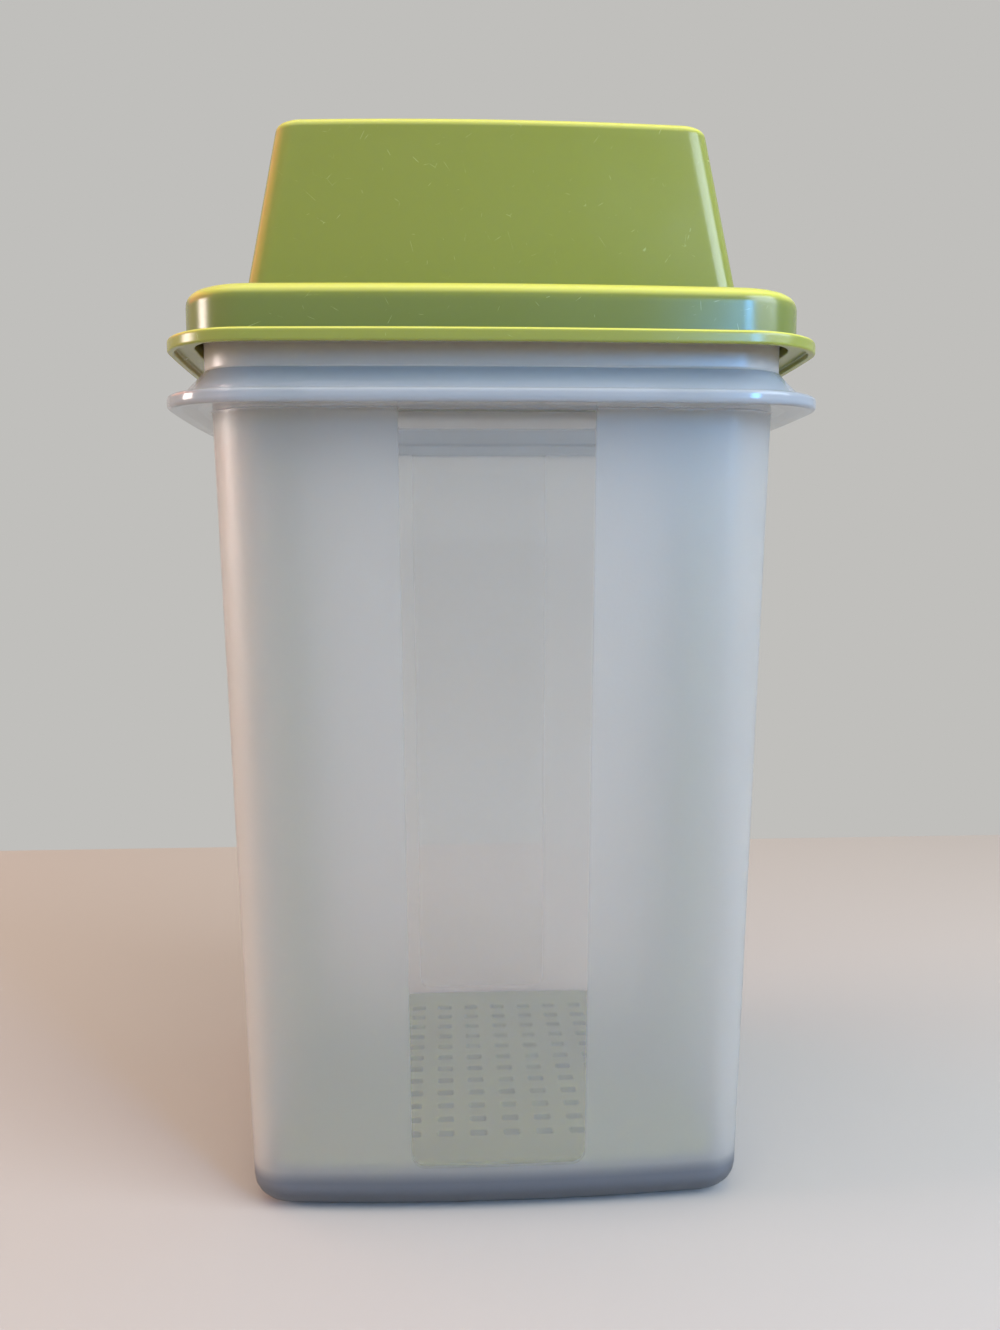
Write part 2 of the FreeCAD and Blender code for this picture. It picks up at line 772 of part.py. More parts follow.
os.makedirs("parts", exist_ok=True)
for body in bodies:
    body.Shape.exportStep(f"parts/{body.Label}.step")
    box = body.Shape.BoundBox
    print(
        f"{body.Label}: {body.Shape.Volume / 1000:.1f} cm3,"
        f" x {box.XMin:.2f} to {box.XMax:.2f},"
        f" y {box.YMin:.2f} to {box.YMax:.2f},"
        f" z {box.ZMin:.2f} to {box.ZMax:.2f}"
    )
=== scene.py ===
import math
import bmesh
import bpy
import numpy as np
from mathutils import Matrix, Vector, geometry


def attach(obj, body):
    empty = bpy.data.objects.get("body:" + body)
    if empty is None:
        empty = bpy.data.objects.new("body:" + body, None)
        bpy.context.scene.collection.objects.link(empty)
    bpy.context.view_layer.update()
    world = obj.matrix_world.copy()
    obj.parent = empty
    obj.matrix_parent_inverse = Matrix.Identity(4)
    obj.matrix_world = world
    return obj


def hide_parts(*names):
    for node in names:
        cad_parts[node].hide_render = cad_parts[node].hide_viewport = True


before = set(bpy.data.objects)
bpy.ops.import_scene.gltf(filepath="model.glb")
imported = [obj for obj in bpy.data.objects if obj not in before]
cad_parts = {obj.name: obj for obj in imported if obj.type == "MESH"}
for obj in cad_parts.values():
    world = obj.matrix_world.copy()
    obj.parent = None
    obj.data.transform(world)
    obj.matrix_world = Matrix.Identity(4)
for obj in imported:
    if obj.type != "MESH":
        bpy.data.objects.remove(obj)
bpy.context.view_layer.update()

# Pickle keeper: frosted container with a polished strip front and back, olive lid with
# a hollow hump, and an olive strainer with a lift handle. Lengths in the dictionaries
# are millimetres; meshes are written in metres.
millimetre = 0.001
print("frame loaded")


# shapes

detail = {
    "supportReach": 0.4,      # a support point lies at most this far, in mm, from its arc
    "supportShare": 0.06,     # or this share of the run
    "leastCrown": 0.001,
    "lastSide": 0.985,        # the last point of a long arc before its corner
    "meetWithin": 1e-5,
    "mergeWithin": 2e-6,      # in metres
}


def roundCorners(points, radii, steps, level, closed=False):
    # Each corner of a path becomes an arc of its radius, tangent to both runs. Lengths and
    # angles are measured in the plane of a point's first value and its value at "level".
    # A support point just past each end of an arc keeps the flat runs flat in shading.
    points = np.asarray(points, float)
    count = len(points)
    made = [] if closed else [points[:1]]
    for i in range(0 if closed else 1, count if closed else count - 1):
        here = points[i]
        back = points[i - 1] - here
        onward = points[(i + 1) % count] - here
        backLength = math.hypot(back[0], back[level])
        onLength = math.hypot(onward[0], onward[level])
        back, onward = back / backLength, onward / onLength
        cosine = back[0] * onward[0] + back[level] * onward[level]
        half = math.acos(max(-1.0, min(1.0, cosine))) / 2
        turn = np.linspace(-1, 1, steps + 1) * (math.pi / 2 - half)
        common = (1 / math.sin(half) - np.cos(turn)) / (2 * math.cos(half))
        skew = np.sin(turn) / (2 * math.sin(half))
        arc = here + radii[i] * (np.outer(common - skew, back) + np.outer(common + skew, onward))
        reach = radii[i] / math.tan(half)
        before, after = (
            here + way * (reach + min(detail["supportReach"], detail["supportShare"] * length))
            for way, length in ((back, backLength), (onward, onLength))
        )
        made += [before[None], arc, after[None]]
    if not closed:
        made.append(points[-1:])
    return np.concatenate(made)


def outlineRings(rows, sideSteps=10, cornerSteps=12):
    # One ring for each row of half width, half depth, crown, corner radius and height:
    # four long arcs that bulge by the crown, joined by corner arcs tangent to both.
    # A quarter of the ring is worked out and mirrored.
    a, b, c, r, z = np.asarray(rows, float).T[:, :, None]
    c = np.maximum(c, detail["leastCrown"])
    sweepX, sweepY = (b * b + c * c) / (2 * c), (a * a + c * c) / (2 * c)
    backX, backY = sweepX - a, sweepY - b
    span = np.hypot(backX, backY)
    along = ((sweepY - r) ** 2 - (sweepX - r) ** 2 + span**2) / (2 * span)
    across = np.sqrt((sweepY - r) ** 2 - along**2)
    cornerX = (backY * across - backX * along) / span
    cornerY = (backX * across + backY * along) / span - backY
    turnX = np.arctan2(cornerY, cornerX + backX)
    turnY = np.arctan2(cornerY + backY, cornerX)
    side = np.append(np.linspace(0, detail["lastSide"], sideSteps), 1.0)
    right = turnX * side
    bend = turnX + (turnY - turnX) * np.linspace(0, 1, cornerSteps + 1)[1:-1]
    top = turnY + (math.pi / 2 - turnY) * (1 - side[::-1])
    x, y = (
        np.hstack([sweepX * way(right) - shiftX, corner + r * way(bend), sweepY * way(top) - shiftY])
        for way, corner, shiftX, shiftY in (
            (np.cos, cornerX, backX, 0), (np.sin, cornerY, 0, backY),
        )
    )
    x, y = (
        np.hstack([v, signX * v[:, ::-1][:, 1:], -v[:, 1:], signY * v[:, ::-1][:, 1:-1]])
        for v, signX, signY in ((x, -1, 1), (y, 1, -1))
    )
    return np.dstack([x, y, np.broadcast_to(z, x.shape)])


def bands(rings, poles=False):
    # Quads between each ring and the next. With poles, the first and the last ring
    # are closed by fans to a point at their middle.
    levels, around = rings.shape[:2]
    vertices = rings.reshape(-1, 3)
    column = np.arange(around)
    following = (column + 1) % around
    start = (np.arange(levels - 1) * around)[:, None]
    nextRing = start + around
    quads = [start + column, start + following, nextRing + following, nextRing + column]
    faces = np.stack(quads, -1).reshape(-1, 4).tolist()
    if poles:
        first, last = len(vertices), len(vertices) + 1
        vertices = np.vstack([vertices, rings[0].mean(0), rings[-1].mean(0)])
        end = (levels - 1) * around
        faces += np.stack([np.full(around, first), following, column], -1).tolist()
        faces += np.stack([end + column, end + following, np.full(around, last)], -1).tolist()
    return vertices, faces


def flatSheet(loops, height, keep, upwards):
    # Triangles between an outer loop and the loops of its holes, on one level. keep says
    # for the middles of the triangles which of them are material.
    points = np.vstack(loops)
    edges, first = [], 0
    for loop in loops:
        index = np.arange(len(loop))
        edges += (first + np.stack([index, (index + 1) % len(loop)], -1)).tolist()
        first += len(loop)
    flatPoints = [Vector(point) for point in points.tolist()]
    made = geometry.delaunay_2d_cdt(flatPoints, edges, [], 0, detail["meetWithin"])
    flat = np.array([tuple(v) for v in made[0]])
    triangles = np.array([face for face in made[2] if len(face) == 3])
    triangles = triangles[keep(flat[triangles].mean(1))]
    corner, second, third = (flat[triangles[:, k]] for k in range(3))
    area = np.cross(second - corner, third - corner)
    triangles[(area > 0) != upwards] = triangles[(area > 0) != upwards][:, ::-1]
    return np.column_stack([flat, np.full(len(flat), height)]), triangles.tolist()


def makePiece(name, parts, body, node, material, sharpFrom=35):
    # Joins the parts into one mesh with its doubles merged and its faces turned outwards.
    vertices, faces, first = [], [], 0
    for points, polygons in parts:
        vertices.append(np.asarray(points) * millimetre)
        faces += [[first + i for i in polygon] for polygon in polygons]
        first += len(points)
    mesh = bpy.data.meshes.new(name)
    mesh.from_pydata(np.vstack(vertices).tolist(), [], faces)
    sculpt = bmesh.new()
    sculpt.from_mesh(mesh)
    bmesh.ops.remove_doubles(sculpt, verts=sculpt.verts, dist=detail["mergeWithin"])
    bmesh.ops.recalc_face_normals(sculpt, faces=sculpt.faces)
    openEdges = sum(1 for edge in sculpt.edges if len(edge.link_faces) != 2)
    sculpt.to_mesh(mesh)
    sculpt.free()
    mesh.polygons.foreach_set("use_smooth", np.ones(len(mesh.polygons), bool))
    mesh.set_sharp_from_angle(angle=math.radians(sharpFrom))
    mesh.materials.append(material)
    piece = bpy.data.objects.new(name, mesh)
    bpy.context.scene.collection.objects.link(piece)
    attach(piece, body)
    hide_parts(node)
    print(f"{name}: {len(mesh.polygons)} faces, {openEdges} open edges")
    return piece


# materials

def hexColour(code):
    # sRGB hex to linear light
    value = np.array([int(code[i:i + 2], 16) for i in (1, 3, 5)]) / 255
    linear = np.where(value <= 0.04045, value / 12.92, ((value + 0.055) / 1.055) ** 2.4)
    return (*linear.tolist(), 1.0)


def addNode(tree, kind, inputs=None, **settings):
    # A node with its settings. An input is a number, a colour or a socket to link from.
    node = tree.nodes.new(kind)
    for key, value in settings.items():
        setattr(node, key, value)
    for key, value in (inputs or {}).items():
        if isinstance(value, bpy.types.NodeSocket):
            tree.links.new(value, node.inputs[key])
        else:
            node.inputs[key].default_value = value
    return node


def newMaterial(name):
    material = bpy.data.materials.new(name)
    material.use_nodes = True
    tree = material.node_tree
    tree.nodes.clear()
    surface = addNode(tree, "ShaderNodeBsdfPrincipled")
    addNode(tree, "ShaderNodeOutputMaterial", {"Surface": surface.outputs[0]})
    place = addNode(tree, "ShaderNodeTexCoord").outputs["Object"]
    return material, tree, surface, place


def perMillimetre(size):
    # noise scale for a feature size in millimetres, as Object coordinates are metres
    return 1000 / size


scratch = {
    "stretch": 0.6,           # size of the kept stretches, as a share of the cell
    "keptFrom": 0.5,          # the noise at which a line starts to show, and
    "keptOver": 0.1,          # how much more makes it full
}


def hairlines(tree, place, cell, width, turn, rarer):
    # Thin scratches: the edges between cells of one size, of which a noise keeps only
    # short stretches. Cell and width are in millimetres.
    turned = addNode(tree, "ShaderNodeMapping", {"Vector": place, "Rotation": turn}).outputs[0]
    cells = addNode(tree, "ShaderNodeTexVoronoi", {
        "Vector": turned, "Scale": perMillimetre(cell),
    }, feature="DISTANCE_TO_EDGE")
    stretches = addNode(tree, "ShaderNodeTexNoise", {
        "Vector": turned, "Scale": perMillimetre(cell * scratch["stretch"]),
    }).outputs[0]
    line = addNode(tree, "ShaderNodeMapRange", {
        "Value": cells.outputs["Distance"], "From Max": width / cell, "To Min": 1.0, "To Max": 0.0,
    }).outputs[0]
    keptFrom = scratch["keptFrom"] + rarer
    kept = addNode(tree, "ShaderNodeMapRange", {
        "Value": stretches, "From Min": keptFrom, "From Max": keptFrom + scratch["keptOver"],
    }).outputs[0]
    return addNode(tree, "ShaderNodeMath", {0: line, 1: kept}, operation="MULTIPLY").outputs[0]


frost = {
    "base": "#F4F2EE",
    "foot": "#A6ACB7",        # painted shade: greyer below the tray, where the tray keeps the light off
    "footTop": (8.0, 11.0),
    "paintedCoolFlange": "#D2D7DC",      # painted cool light: the flange and flare are tinted cooler
    "flangeFrom": 199.3,
    "paintedWarmNeck": "#F9F0E6",        # painted warm light: the neck is tinted as if the lid's warm light were behind it
    "neckFrom": 208.4,
    "seam": 0.2,              # half the height over which one part's look turns to the next's
    "ior": 1.49,
    "frostedRoughness": 0.42, "frostedTransmission": 0.80,
    "polishedRoughness": 0.03, "frontTransmission": 0.84, "backTransmission": 0.74,
    "flangeRoughness": 0.14, "flangeTransmission": 0.58,
    "neckRoughness": 0.32, "neckTransmission": 0.62,
    "haze": 28.0,             # size of the hazy patches in the strips
    "hazeRange": (0.5, 0.75),
    "hazeRoughness": 0.10,
    "grain": 0.9,             # the real grain is 0.1 mm; this is as fine as shows
    "grainHeight": 0.035,
    "frostedGrain": 0.5, "polishedGrain": 0.04, "rimGrain": 0.05,
    "stripTop": 206.0,
    "stripBottom": 12.0,
    "stripHalfTop": 23.2,
    "stripHalfBottom": 21.8,
    "stripCorner": 3.5,
    "stripSoft": 0.25,
    "stripFrom": 48.0,        # distance from the middle plane to where the two walls begin
}


def stripMask(tree, place, strip):
    # 1 inside the polished strips and 0 outside: the distance to a rounded rectangle that
    # narrows downwards, seen along Y, on the front and the back wall only. It is the length
    # of what lies beyond the corner's centre, or, inside, the nearer side, less the corner.
    top, bottom, halfTop, halfBottom, corner, soft, wall = (
        strip["strip" + name] * millimetre
        for name in ("Top", "Bottom", "HalfTop", "HalfBottom", "Corner", "Soft", "From")
    )
    middle, halfHeight = (top + bottom) / 2, (top - bottom) / 2
    slope = (halfTop - halfBottom) / (2 * halfHeight)
    halfMiddle = (halfTop + halfBottom) / 2
    terms = dict(zip("xyz", addNode(tree, "ShaderNodeSeparateXYZ", {0: place}).outputs))
    for name, operation, *values in (
        ("above", "SUBTRACT", "z", middle),
        ("halfWidth", "MULTIPLY_ADD", "above", slope, halfMiddle - corner),
        ("sideways", "ABSOLUTE", "x"),
        ("outX", "SUBTRACT", "sideways", "halfWidth"),
        ("upright", "ABSOLUTE", "above"),
        ("outZ", "SUBTRACT", "upright", halfHeight - corner),
        ("beyondX", "MAXIMUM", "outX", 0.0),
        ("squareX", "POWER", "beyondX", 2.0),
        ("beyondZ", "MAXIMUM", "outZ", 0.0),
        ("squareZ", "POWER", "beyondZ", 2.0),
        ("square", "ADD", "squareX", "squareZ"),
        ("outside", "SQRT", "square"),
        ("nearerSide", "MAXIMUM", "outX", "outZ"),
        ("inside", "MINIMUM", "nearerSide", 0.0),
        ("fromCentre", "ADD", "outside", "inside"),
        ("distance", "SUBTRACT", "fromCentre", corner),
        ("depth", "ABSOLUTE", "y"),
        ("onWall", "GREATER_THAN", "depth", wall),
    ):
        inputs = {i: terms.get(value, value) for i, value in enumerate(values)}
        terms[name] = addNode(tree, "ShaderNodeMath", inputs, operation=operation).outputs[0]
    edge = addNode(tree, "ShaderNodeMapRange", {
        "Value": terms["distance"],
        "From Min": -soft, "From Max": soft, "To Min": 1.0, "To Max": 0.0,
    }, interpolation_type="SMOOTHSTEP").outputs[0]
    return addNode(tree, "ShaderNodeMath", {
        0: edge, 1: terms["onWall"],
    }, operation="MULTIPLY").outputs[0]


def frostedPolypropylene(look):
    # Polypropylene moulded against a spark-eroded steel: a milky sheet that passes light and
    # blurs what is behind it. The strips are moulded against polished steel and stay clearer.
    material, tree, surface, place = newMaterial("frostedPolypropylene")
    surface.inputs["IOR"].default_value = look["ior"]
    depth, height = addNode(tree, "ShaderNodeSeparateXYZ", {0: place}).outputs[1:]
    haze = addNode(tree, "ShaderNodeTexNoise", {
        "Vector": place, "Scale": perMillimetre(look["haze"]), "Detail": 3.0,
    })
    levels = {
        # the painted shade under the tray fades out upwards over this height
        "onWall": look["footTop"],
        "onFlange": (look["flangeFrom"] - look["seam"], look["flangeFrom"] + look["seam"]),
        "onNeck": (look["neckFrom"] - look["seam"], look["neckFrom"] + look["seam"]),
    }
    known = {**look, "mask": stripMask(tree, place, look)}
    for name, (start, end) in levels.items():
        known[name] = addNode(tree, "ShaderNodeMapRange", {
            "Value": height, "From Min": start * millimetre, "From Max": end * millimetre,
        }).outputs[0]
    known["atBack"] = addNode(tree, "ShaderNodeMath", {
        0: depth, 1: 0.0,
    }, operation="GREATER_THAN").outputs[0]
    known["wear"] = addNode(tree, "ShaderNodeMapRange", {
        "Value": haze.outputs[0],
        "From Min": look["hazeRange"][0], "From Max": look["hazeRange"][1],
        "To Min": look["polishedRoughness"], "To Max": look["hazeRoughness"],
    }).outputs[0]

    # over the base colour: painted shade below the tray, painted cool light on the flange and flare,
    # painted warm light on the neck
    colour = hexColour(look["foot"])
    for part, factor in (("base", "onWall"), ("paintedCoolFlange", "onFlange"), ("paintedWarmNeck", "onNeck")):
        colour = addNode(tree, "ShaderNodeMix", {
            "Factor": known[factor], 6: colour, 7: hexColour(look[part]),
        }, data_type="RGBA").outputs[2]

    # each row mixes two values, known from the look or from a row above, by a factor
    for name, factor, low, high in (
        ("wallRoughness", "mask", "frostedRoughness", "wear"),
        ("rimRoughness", "onNeck", "flangeRoughness", "neckRoughness"),
        ("roughness", "onFlange", "wallRoughness", "rimRoughness"),
        ("stripTransmission", "atBack", "frontTransmission", "backTransmission"),
        ("wallTransmission", "mask", "frostedTransmission", "stripTransmission"),
        ("rimTransmission", "onNeck", "flangeTransmission", "neckTransmission"),
        ("transmission", "onFlange", "wallTransmission", "rimTransmission"),
        ("wallGrain", "mask", "frostedGrain", "polishedGrain"),
        ("grainStrength", "onFlange", "wallGrain", "rimGrain"),
    ):
        known[name] = addNode(tree, "ShaderNodeMix", {
            "Factor": known[factor], 2: known[low], 3: known[high],
        }, data_type="FLOAT").outputs[0]
    grain = addNode(tree, "ShaderNodeTexNoise", {
        "Vector": place, "Scale": perMillimetre(look["grain"]), "Detail": 2.0,
    })
    bump = addNode(tree, "ShaderNodeBump", {
        "Height": grain.outputs[0], "Strength": known["grainStrength"],
        "Distance": look["grainHeight"] * millimetre,
    })
    tree.links.new(colour, surface.inputs["Base Color"])
    tree.links.new(known["roughness"], surface.inputs["Roughness"])
    tree.links.new(known["transmission"], surface.inputs["Transmission Weight"])
    tree.links.new(bump.outputs[0], surface.inputs["Normal"])
    return material


olive = {
    "base": "#858A3A",
    "skirt": "#737C3C",       # painted shade: the skirt is darker, as if the neck behind it let no light through
    "skirtTop": (222.5, 225.5),
    "edge": "#D8D35C",        # painted highlight on the thin rounded edges that face upwards
    "edgeHighlightShare": 0.8,
    "edgeHighlightLean": (0.2, 0.6),   # upward part of the normal over which the painted edge highlight shows
    "flatLean": (0.93, 0.995),
    "paintedGlowTop": (215.9, 216.5),     # painted glow on the thin lip under this height
    "paintedGlowShare": 0.2,
    "scuffed": "#A9B26C",
    "scuffs": [                    # cell and width in mm, turn, how much rarer
        (5, 0.07, (0.3, 0.5, 0.2), 0.11),
        (9, 0.08, (1.1, 0.2, 2.3), 0.15),
        (17, 0.08, (2.0, 1.4, 0.7), 0.17),
    ],
    "rubbed": (0.36, 0.6),         # the part of the cloud where scuffs show
    "cloud": 22.0,
    "cloudRange": (0.3, 0.7),
    "roughness": (0.18, 0.27),     # more than 0.27 comes out in patches when denoised
    "scuffRoughness": 0.38,
    "ior": 1.49,
    "subsurface": 0.6,
    "scatter": (4.0, 3.4, 0.9),    # mm that red, green and blue travel in the plastic
    "ripple": 9.0,
    "rippleStrength": 0.4,
    "rippleHeight": 0.03,
}


def olivePolypropylene(name, look):
    # Pigmented polypropylene from a polished steel mould: a soft gloss, pale hairline scuffs from
    # years of handling, a painted highlight on the rounded edges and the lower lip, and painted shade
    # on the skirt.
    material, tree, surface, place = newMaterial(name)
    scratches = 0.0
    for scuff in look["scuffs"]:
        scratches = addNode(tree, "ShaderNodeMath", {
            0: scratches, 1: hairlines(tree, place, *scuff),
        }, operation="MAXIMUM").outputs[0]
    cloud = addNode(tree, "ShaderNodeTexNoise", {
        "Vector": place, "Scale": perMillimetre(look["cloud"]), "Detail": 3.0,
    })
    facing = addNode(tree, "ShaderNodeNewGeometry").outputs["Normal"]
    upward = addNode(tree, "ShaderNodeSeparateXYZ", {0: facing}).outputs[2]
    height = addNode(tree, "ShaderNodeSeparateXYZ", {0: place}).outputs[2]
    skirtTop, paintedGlowTop = (
        [level * millimetre for level in look[key]] for key in ("skirtTop", "paintedGlowTop")
    )

    # each row carries a source from one range to another
    known = {"scratches": scratches, "cloud": cloud.outputs[0], "upward": upward, "height": height}
    # masks for the painted edge highlight, the painted lip glow and the painted skirt shade, and for
    # the gloss and scuffs
    for name, source, (start, end), (low, high) in (
        ("rubbed", "cloud", look["rubbed"], (0, 1)),
        ("leaning", "upward", look["edgeHighlightLean"], (0, look["edgeHighlightShare"])),
        ("notFlat", "upward", look["flatLean"], (1, 0)),
        ("paintedLipGlow", "height", paintedGlowTop, (look["paintedGlowShare"], 0)),
        ("aboveSkirtShade", "height", skirtTop, (0, 1)),
        ("gloss", "cloud", look["cloudRange"], look["roughness"]),
    ):
        known[name] = addNode(tree, "ShaderNodeMapRange", {
            "Value": known[source],
            "From Min": start, "From Max": end, "To Min": low, "To Max": high,
        }).outputs[0]
    for name, operation, first, second in (
        ("worn", "MULTIPLY", "scratches", "rubbed"),
        ("rounded", "MULTIPLY", "leaning", "notFlat"),
        ("paintedEdgeLight", "MAXIMUM", "rounded", "paintedLipGlow"),
    ):
        inputs = {0: known[first], 1: known[second]}
        known[name] = addNode(tree, "ShaderNodeMath", inputs, operation=operation).outputs[0]

    # painted shade on the skirt, then painted highlight on the edges and lip, then the real scuffs
    colour = hexColour(look["skirt"])
    for part, factor in (("base", "aboveSkirtShade"), ("edge", "paintedEdgeLight"), ("scuffed", "worn")):
        colour = addNode(tree, "ShaderNodeMix", {
            "Factor": known[factor], 6: colour, 7: hexColour(look[part]),
        }, data_type="RGBA").outputs[2]
    rough = addNode(tree, "ShaderNodeMix", {
        "Factor": known["worn"], 2: known["gloss"], 3: look["scuffRoughness"],
    }, data_type="FLOAT")
    ripple = addNode(tree, "ShaderNodeTexNoise", {
        "Vector": place, "Scale": perMillimetre(look["ripple"]),
    })
    bump = addNode(tree, "ShaderNodeBump", {
        "Height": ripple.outputs[0], "Strength": look["rippleStrength"],
        "Distance": look["rippleHeight"] * millimetre,
    })
    surface.inputs["IOR"].default_value = look["ior"]
    surface.inputs["Subsurface Weight"].default_value = look["subsurface"]
    surface.inputs["Subsurface Radius"].default_value = look["scatter"]
    surface.inputs["Subsurface Scale"].default_value = millimetre
    tree.links.new(colour, surface.inputs["Base Color"])
    tree.links.new(rough.outputs[0], surface.inputs["Roughness"])
    tree.links.new(bump.outputs[0], surface.inputs["Normal"])
    return material


frosted = frostedPolypropylene(frost)
lidPlastic = olivePolypropylene("olivePolypropylene", olive)
# the strainer keeps only a faint painted edge highlight, with no painted lip glow and no painted skirt
# shade
strainerPlastic = olivePolypropylene("paleOlivePolypropylene", {
    **olive, "base": "#979A42", "skirt": "#979A42",
    "edgeHighlightShare": 0.05, "paintedGlowShare": 0.0, "subsurface": 0.25,
})
print("materials ready")


# container

keeper = {
    # half width, half depth, crown, corner radius, height, rounding, from the middle of the
    # underside out, up the outer wall, over the rim, down the inside to the middle of the floor
    "profile": [
        (0.6, 0.6, 0.0, 0.3, 1.2, 0),
        (53.7, 49.5, 3.2, 5.0, 1.2, 0.4),
        (53.7, 49.5, 3.2, 5.0, 0.0, 0.4),
        (64.7, 60.5, 3.2, 9.0, 0.0, 7.0),
        (70.0, 65.8, 3.2, 14.3, 199.5, 0.8),
        (79.7, 75.5, 3.2, 22.0, 199.5, 1.1),
        (79.7, 75.5, 3.2, 22.0, 202.8, 1.1),
        (76.5, 72.3, 3.2, 18.8, 202.8, 0.6),
        (71.3, 67.1, 3.2, 13.6, 208.7, 1.2),
        (71.3, 67.1, 3.2, 13.6, 222.1, 0.2),
        (71.9, 67.7, 3.2, 14.2, 222.1, 0.2),
        (71.9, 67.7, 3.2, 14.2, 225.1, 0.5),
        (69.3, 65.1, 3.2, 11.6, 225.1, 0.5),
        (69.3, 65.1, 3.2, 11.6, 207.9, 0.8),
        (73.8, 69.6, 3.2, 16.1, 202.8, 0.8),
        (68.09, 63.89, 3.2, 12.4, 202.8, 0.8),
        (62.79, 58.59, 3.2, 7.1, 3.4, 5.0),
        (0.6, 0.6, 0.0, 0.3, 3.4, 0),
    ],
    "arcSteps": 6,
}


def profileShell(look):
    # the rounded profile, with its outline ring at each of its points
    rows = np.array(look["profile"])
    profile = roundCorners(rows[:, :5], rows[:, 5], look["arcSteps"], level=4)
    return bands(outlineRings(profile), poles=True)


makePiece("keeperBody", [profileShell(keeper)], "container", "container", frosted)


# lid

cover = {
    # from the middle of the hump's ceiling down and out to the lip, then back up outside
    "profile": [
        (0.6, 0.6, 0.0, 0.3, 267.6, 0),
        (52.72, 48.85, 2.6, 4.2, 267.6, 1.2),
        (60.32, 54.85, 2.6, 4.2, 225.15, 1.2),
        (67.4, 63.2, 3.2, 9.7, 225.15, 0.8),
        (67.4, 63.2, 3.2, 9.7, 215.1, 0.6),
        (69.0, 64.8, 3.2, 11.3, 215.1, 0.6),
        (69.0, 64.8, 3.2, 11.3, 225.15, 0.1),
        (73.2, 69.0, 3.2, 15.5, 225.15, 1.7),
        (73.2, 69.0, 3.2, 15.5, 214.1, 0.3),
        (77.7, 73.5, 3.2, 20.0, 214.1, 0.4),
        (77.7, 73.5, 3.2, 20.0, 212.8, 0.3),
        (79.3, 75.1, 3.2, 21.6, 212.8, 0.5),
        (79.3, 75.1, 3.2, 21.6, 215.9, 0.9),
        (75.0, 70.8, 3.2, 17.3, 215.9, 0.7),
        (75.0, 70.8, 3.2, 17.3, 226.9, 3.5),
        (61.8, 56.4, 2.6, 6.0, 226.9, 1.0),
        (54.2, 50.4, 2.6, 6.0, 269.4, 2.5),
        (0.6, 0.6, 0.0, 0.3, 269.4, 0),
    ],
    "arcSteps": 6,
}
makePiece("lidShell", [profileShell(cover)], "lid", "lid", lidPlastic)


# strainer tray

tray = {
    # outline, slot and tongue hole: half width, half depth, crown, corner radius
    "outline": (60.155, 55.955, 3.2, 9.0),
    "top": 11.6,
    "bottom": 9.6,
    "edge": 0.6,
    "edgeSteps": 4,
    "inset": 1.0,      # from the rounded edge to the flat sheets
    "slot": (2.25, 1.6, 0.0, 0.8),
    "easing": 0.2,
    "pitch": (8.859, 7.626),
    "count": (12, 12),
    "footPlace": (30.0, 48.955),
    "footRadius": 3.0,
    "footBottom": 3.4,
    "footEasing": 0.5,
    "footSides": 24,
    "tongue": (1.3, 12.3, 0.0, 0.3),
    "tonguePlace": 56.855,
}


def spread(outline, by):
    # an outline grown by a distance all round, with its crown kept
    a, b, c, r = outline
    return (a + by, b + by, c, r + by)


def makeTray(look):
    # A rounded rim, a drafted wall round each hole and foot, and two flat sheets between them.
    top, bottom, edge, easing = look["top"], look["bottom"], look["edge"], look["easing"]
    full = look["outline"]
    flat = spread(full, -edge - look["inset"])
    rim = np.array([(*flat, bottom), (*full, bottom), (*full, top), (*flat, top)])
    rimRings = outlineRings(roundCorners(rim, [0, edge, edge, 0], look["edgeSteps"], level=4))
    parts = [bands(rimRings)]
    loops = {top: [rimRings[-1][:, :2]], bottom: [rimRings[0][:, :2]]}

    # walls of the slots and of the two tongue holes, eased at both faces
    columns, rows = ((np.arange(n) - (n - 1) / 2) * p for n, p in zip(look["count"], look["pitch"]))
    holes = [(x, y, look["slot"]) for x in columns for y in rows]
    holes += [(side * look["tonguePlace"], 0.0, look["tongue"]) for side in (-1, 1)]
    for x, y, shape in holes:
        wide = spread(shape, easing)
        wall = [(*wide, top), (*shape, top - easing), (*shape, bottom + easing), (*wide, bottom)]
        rings = outlineRings(np.array(wall), sideSteps=1, cornerSteps=3) + (x, y, 0)
        parts.append(bands(rings))
        loops[top].append(rings[0][:, :2])
        loops[bottom].append(rings[-1][:, :2])

    # feet: short round pegs with an eased end
    radius, footEasing, sides = look["footRadius"], look["footEasing"], look["footSides"]
    footX, footY = look["footPlace"]
    angle = np.linspace(0, 2 * math.pi, sides, endpoint=False)
    footBottom = look["footBottom"]
    footRows = [(radius, bottom), (radius, footBottom + footEasing), (radius - footEasing, footBottom)]
    for x, y in ((-footX, -footY), (-footX, footY), (footX, -footY), (footX, footY)):
        rings = np.array([
            np.column_stack([x + r * np.cos(angle), y + r * np.sin(angle), np.full(sides, z)])
            for r, z in footRows
        ])
        points, faces = bands(rings)
        faces.append(list(range(2 * sides, 3 * sides)))
        parts.append((points, faces))
        loops[bottom].append(rings[0][:, :2])

    def solid(level):
        def test(middles):
            across, along = middles.T
            keep = np.ones(len(middles), bool)
            for x, y, (halfX, halfY, *_) in holes:
                keep &= (abs(across - x) >= halfX + easing) | (abs(along - y) >= halfY + easing)
            if level == bottom:
                away = np.hypot(abs(across) - footX, abs(along) - footY)
                keep &= away > radius * math.cos(math.pi / sides)
            return keep
        return test

    for level in (top, bottom):
        parts.append(flatSheet(loops[level], level, solid(level), upwards=level == top))
    return parts


makePiece("strainerPlate", makeTray(tray), "strainer", "strainer_tray", strainerPlastic)


# lift handle

